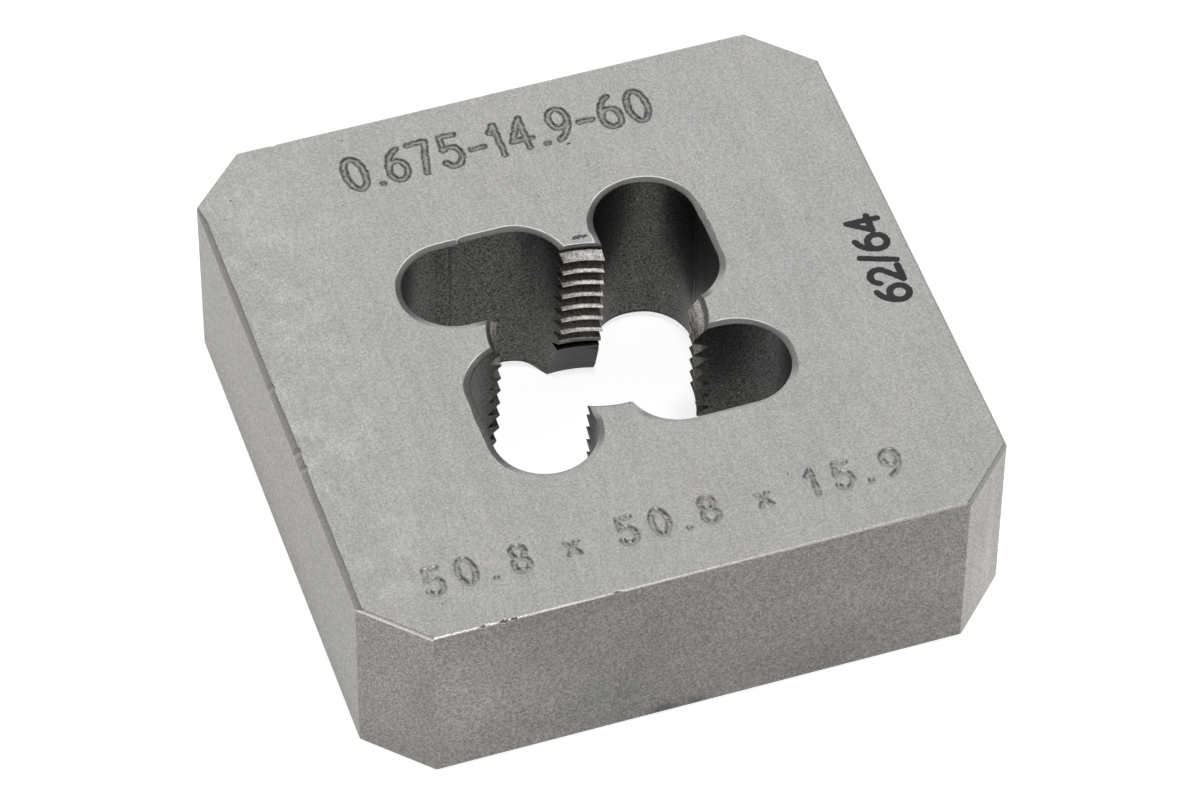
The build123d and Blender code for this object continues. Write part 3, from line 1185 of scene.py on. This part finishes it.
def ground_face_material(colours):
    """Top face: fine lines along the depth, soft clouds, rough stamp floors darkened with painted shade, and
    black ink.
    """
    steel = Steel("ground_face", colours.ground, (1.0, 0.05, 1.0), 130.0, (0.38, 0.5))
    tree = steel.tree
    steel.shade("Cloud", 0.3, 0.7, 0.92, 1.07)
    steel.shade("Speckle", 0.25, 0.75, 0.74, 1.26)
    steel.shade("Lines", 0.3, 0.7, 0.95, 1.05)
    steel.shade("Streaks", 0.35, 0.65, 0.97, 1.03)
    steel.stain(steel.spots(2600.0, 0.008), (0.12, 0.115, 0.11))

    sides = shader_node(tree, "ShaderNodeSeparateXYZ")
    tree.links.new(steel.place, sides.inputs[0])
    towards_left = spread(tree, sides.outputs["X"], -25.0 * MM, -12.0 * MM, 1.0, 0.0)
    patches = noise(tree, steel.place, Scale=420.0, Detail=4.0, Roughness=0.6)
    worn = combined(tree, "MULTIPLY", towards_left, spread(tree, patches, 0.47, 0.6, 0.0, 1.0))
    steel.shade(worn, 0.0, 1.0, 0.98, 1.14)

    grit = noise(tree, steel.place, Scale=9000.0, Detail=1.0)
    # Painted shade in the stamped strokes and dents: dark near their walls and lighter along the middle of
    # the deep ones, grey in the shallow ones, broken up by grit that also roughens them
    stamp = steel.value("stamp_distance")
    wall = spread(tree, stamp, 0.26, 0.32, 1.0, 0.0)
    crown = spread(tree, stamp, 0.05, 0.17, 0.25, 0.85)
    shallow = spread(tree, steel.value("shallow_distance"), 0.1, 0.27, 0.22, 0.0)
    floor = combined(tree, "MAXIMUM", combined(tree, "MULTIPLY", wall, crown), shallow)
    stroke_shade_and_grit = combined(tree, "MULTIPLY", floor, spread(tree, grit, 0.4, 0.6, 0.4, 1.0))
    steel.stain(stroke_shade_and_grit, (0.14, 0.135, 0.13))

    to_ink = steel.value("ink_distance")
    ragged = combined(tree, "ADD", to_ink, spread(tree, grit, 0.3, 0.7, -0.03, 0.03))
    splashed = spread(tree, to_ink, 0.35, 0.75, 0.9, 0.0)
    drops = combined(tree, "MULTIPLY", steel.spots(3300.0, 0.16), splashed)
    ink = combined(tree, "MAXIMUM", spread(tree, ragged, 0.265, 0.29, 1.0, 0.0), drops)
    steel.stain(ink, colours.ink)
    steel.roughness = combined(tree, "ADD", steel.roughness, combined(tree, "MULTIPLY", stroke_shade_and_grit, 0.25))
    tree.links.new(combined(tree, "SUBTRACT", 1.0, ink), steel.shader.inputs["Metallic"])
    steel.raise_by(steel.value("Lines"), 0.0012 * MM)
    steel.raise_by(grit, 0.0015 * MM)
    return steel.finish()


def ground_side_material(colours):
    """Sides: duller, with larger clouds and a few dark specks."""
    steel = Steel("ground_side", colours.side, (0.06, 0.06, 1.0), 75.0, (0.42, 0.58))
    steel.shade("Cloud", 0.3, 0.7, 0.8, 1.18)
    steel.shade("Speckle", 0.25, 0.75, 0.5, 1.5)
    steel.stain(steel.spots(2000.0, 0.015), (0.07, 0.065, 0.06))
    # Painted light and shade of each side, with its cloudy patches
    steel.shade("side_tone", 0.5, 2.0, 0.5, 2.0)
    steel.raise_by(steel.value("Speckle"), 0.002 * MM)
    return steel.finish()


def flute_material(colours):
    """Flute walls: dark and dull, with dark specks and pale dust."""
    steel = Steel("flute_wall", colours.flute, (1.0, 1.0, 0.1), 150.0, (0.34, 0.5))
    # Painted light and shade of each flute, and painted shade at the foot
    steel.shade("foot_light", 0.0, 1.0, 0.0, 1.0)
    steel.shade("Cloud", 0.3, 0.7, 0.85, 1.15)
    steel.shade("Speckle", 0.25, 0.75, 0.0, 1.8)
    steel.stain(steel.spots(2600.0, 0.03), (0.012, 0.012, 0.012))
    steel.stain(steel.spots(4000.0, 0.03), (0.4, 0.4, 0.39))
    steel.raise_by(steel.value("Speckle"), 0.003 * MM)
    return steel.finish()


def tooth_material(colours):
    """Teeth: bright cut steel, with painted shade in the spaces, on the throat and under the rim, and painted
    light on the right lip.
    """
    steel = Steel("cut_tooth", colours.tooth, (1.0, 1.0, 0.4), 260.0, (0.3, 0.42))
    steel.shade("Speckle", 0.25, 0.75, 0.3, 1.6)
    steel.stain(steel.spots(2600.0, 0.04), (0.02, 0.02, 0.02))
    # Painted light and shade of the lands
    steel.shade("tooth_light", 0.0, 2.0, 0.0, 2.0)
    return steel.finish()


def break_material(colours):
    """Broken edges of the flutes, with painted light and shade by the way they face, and a painted highlight
    along the rim on the far sides, where the steel is also smoother.
    """
    dulled = tuple(0.47 * channel for channel in colours.ground)
    steel = Steel("broken_edge", dulled, (1.0, 1.0, 1.0), 300.0, (0.38, 0.48))
    steel.shade("Speckle", 0.2, 0.8, 0.7, 1.3)
    # Painted light and shade of the broken edge by the way it faces
    steel.shade("side_tone", 0.0, 3.0, 0.0, 3.0)
    rim = steel.value("rim")
    # Painted highlight: a pale colour along the far rims
    steel.stain(rim, (0.85, 0.84, 0.82))
    polish = combined(steel.tree, "MULTIPLY", rim, 0.2)
    steel.roughness = combined(steel.tree, "SUBTRACT", steel.roughness, polish)
    return steel.finish()


def bevel_material(colours):
    """Bevels round the block, each with its own tone, which is painted light for how it catches the light."""
    steel = Steel("outer_bevel", colours.side, (1.0, 1.0, 1.0), 200.0, (0.32, 0.42))
    steel.shade("Speckle", 0.2, 0.8, 0.7, 1.3)
    steel.shade("side_tone", 0.5, 3.0, 0.5, 3.0)
    return steel.finish()


def build_materials(colours):
    """The die's materials in the order of its slots."""
    for make_group in (grinding_group, mottle_group, spots_group):
        make_group()
    makers = (
        ground_face_material, ground_side_material, flute_material,
        tooth_material, break_material, bevel_material,
    )
    return [maker(colours) for maker in makers]


# Studio

# Soft lights: name, place, width and height in metres, and power in watts
LIGHTS = (
    ("key", (0.02, -0.155, 0.8), (0.09, 0.09), 1.0),
    ("back", (0.15, 0.55, 0.6), (0.9, 0.7), 2.18),
)


def build_floor(studio):
    """A wide pale floor that glows a little, as a lit table does."""
    reach = 1.5
    corners = [(-reach, -reach, 0.0), (reach, -reach, 0.0), (reach, reach, 0.0), (-reach, reach, 0.0)]
    mesh = bpy.data.meshes.new("floor")
    mesh.from_pydata(corners, [], [(0, 1, 2, 3)])
    floor = add_piece("floor", mesh)
    material = bpy.data.materials.new("pale_floor")
    material.use_nodes = True
    shader = material.node_tree.nodes["Principled BSDF"]
    shader.inputs["Base Color"].default_value = (*studio.floor, 1.0)
    shader.inputs["Roughness"].default_value = 0.8
    shader.inputs["Specular IOR Level"].default_value = 0.2
    shader.inputs["Emission Color"].default_value = (1.0, 1.0, 1.0, 1.0)
    shader.inputs["Emission Strength"].default_value = studio.glow
    mesh.materials.append(material)


def build_surroundings():
    """A pale room: bright along the horizon and dim towards the ceiling."""
    world = bpy.data.worlds.new("surroundings")
    world.use_nodes = True
    tree = world.node_tree
    direction = shader_node(tree, "ShaderNodeTexCoord")
    parts = shader_node(tree, "ShaderNodeSeparateXYZ")
    tree.links.new(direction.outputs["Generated"], parts.inputs[0])
    horizon, ceiling = [0.72] * 3, [0.05] * 3
    room = colour_ramp(tree, parts.outputs["Z"], (0.24, 0.46), (horizon, ceiling))
    tree.links.new(room, tree.nodes["Background"].inputs["Color"])
    return world


def stand_at(piece, place, aim, roll=0.0):
    """Put a light or a camera at its place, turned to its aim and rolled about its own axis."""
    piece.location = place
    piece.rotation_mode = "QUATERNION"
    upright = (Vector(place) - Vector(aim)).to_track_quat("Z", "Y")
    piece.rotation_quaternion = upright @ Quaternion((0, 0, 1), roll)


def build_light(name, place, size, power):
    """A soft rectangular light that faces the die."""
    lamp = bpy.data.lights.new(name, "AREA")
    lamp.shape = "RECTANGLE"
    lamp.size, lamp.size_y = size
    lamp.energy = power
    stand_at(add_piece(name, lamp), place, (0, 0, 0))


def build_camera(studio):
    """The camera at the photograph's viewing angle."""
    lens = bpy.data.cameras.new("camera")
    lens.sensor_fit = "HORIZONTAL"
    lens.sensor_width = 36.0
    lens.lens = studio.lens
    lens.clip_start = 0.01
    camera = add_piece("camera", lens)
    stand_at(camera, studio.camera_place, studio.camera_aim, studio.camera_roll)
    bpy.context.scene.camera = camera


class PIPEDIE_OT_body(bpy.types.Operator):
    """Build the die itself: bore, thread, flutes, faces and marks in one closed mesh"""

    bl_idname = "pipe_die.body"
    bl_label = "Die body"

    def execute(self, context):
        sizes = context.scene.pipe_die
        mesh = die_mesh(sizes)
        for material in build_materials(sizes.colours):
            mesh.materials.append(material)
        mesh.shade_smooth()
        mesh.set_sharp_from_angle(angle=math.radians(30))
        body = add_piece("die_body", mesh)
        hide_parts(NODE)
        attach(body, BODY)
        return {"FINISHED"}


class PIPEDIE_OT_stage(bpy.types.Operator):
    """Build the pale floor, the soft lights and the camera"""

    bl_idname = "pipe_die.stage"
    bl_label = "Stage"

    def execute(self, context):
        studio = context.scene.pipe_die.studio
        build_floor(studio)
        for light in LIGHTS:
            build_light(*light)
        build_camera(studio)
        scene = context.scene
        scene.view_settings.view_transform = "Standard"
        scene.world = build_surroundings()
        return {"FINISHED"}


class PIPEDIE_PT_sidebar(bpy.types.Panel):
    """Lists the pieces and their sizes"""

    bl_idname = "PIPEDIE_PT_sidebar"
    bl_label = "Pipe die"
    bl_space_type = "VIEW_3D"
    bl_region_type = "UI"
    bl_category = "Pipe die"

    def draw(self, context):
        layout = self.layout
        for operator in (PIPEDIE_OT_body, PIPEDIE_OT_stage):
            layout.operator(operator.bl_idname)
        settings = context.scene.pipe_die
        for group in (settings.block, settings.thread, settings.flute, settings.marks,
                      settings.colours, settings.studio):
            box = layout.box()
            for name in group.__annotations__:
                box.prop(group, name)


CLASSES = (
    BlockSizes, ThreadSizes, FluteSizes, MarkTexts, SteelColours, StudioSettings, PipeDieSettings,
    PIPEDIE_OT_body, PIPEDIE_OT_stage, PIPEDIE_PT_sidebar,
)


def register():
    """Register the classes and hang the settings on the scene."""
    for each in CLASSES:
        bpy.utils.register_class(each)
    bpy.types.Scene.pipe_die = bpy.props.PointerProperty(type=PipeDieSettings)


def unregister():
    """Take the settings and the classes away again."""
    del bpy.types.Scene.pipe_die
    for each in reversed(CLASSES):
        bpy.utils.unregister_class(each)


def main():
    register()
    bpy.ops.pipe_die.body()
    bpy.ops.pipe_die.stage()


if __name__ == "__main__":
    main()
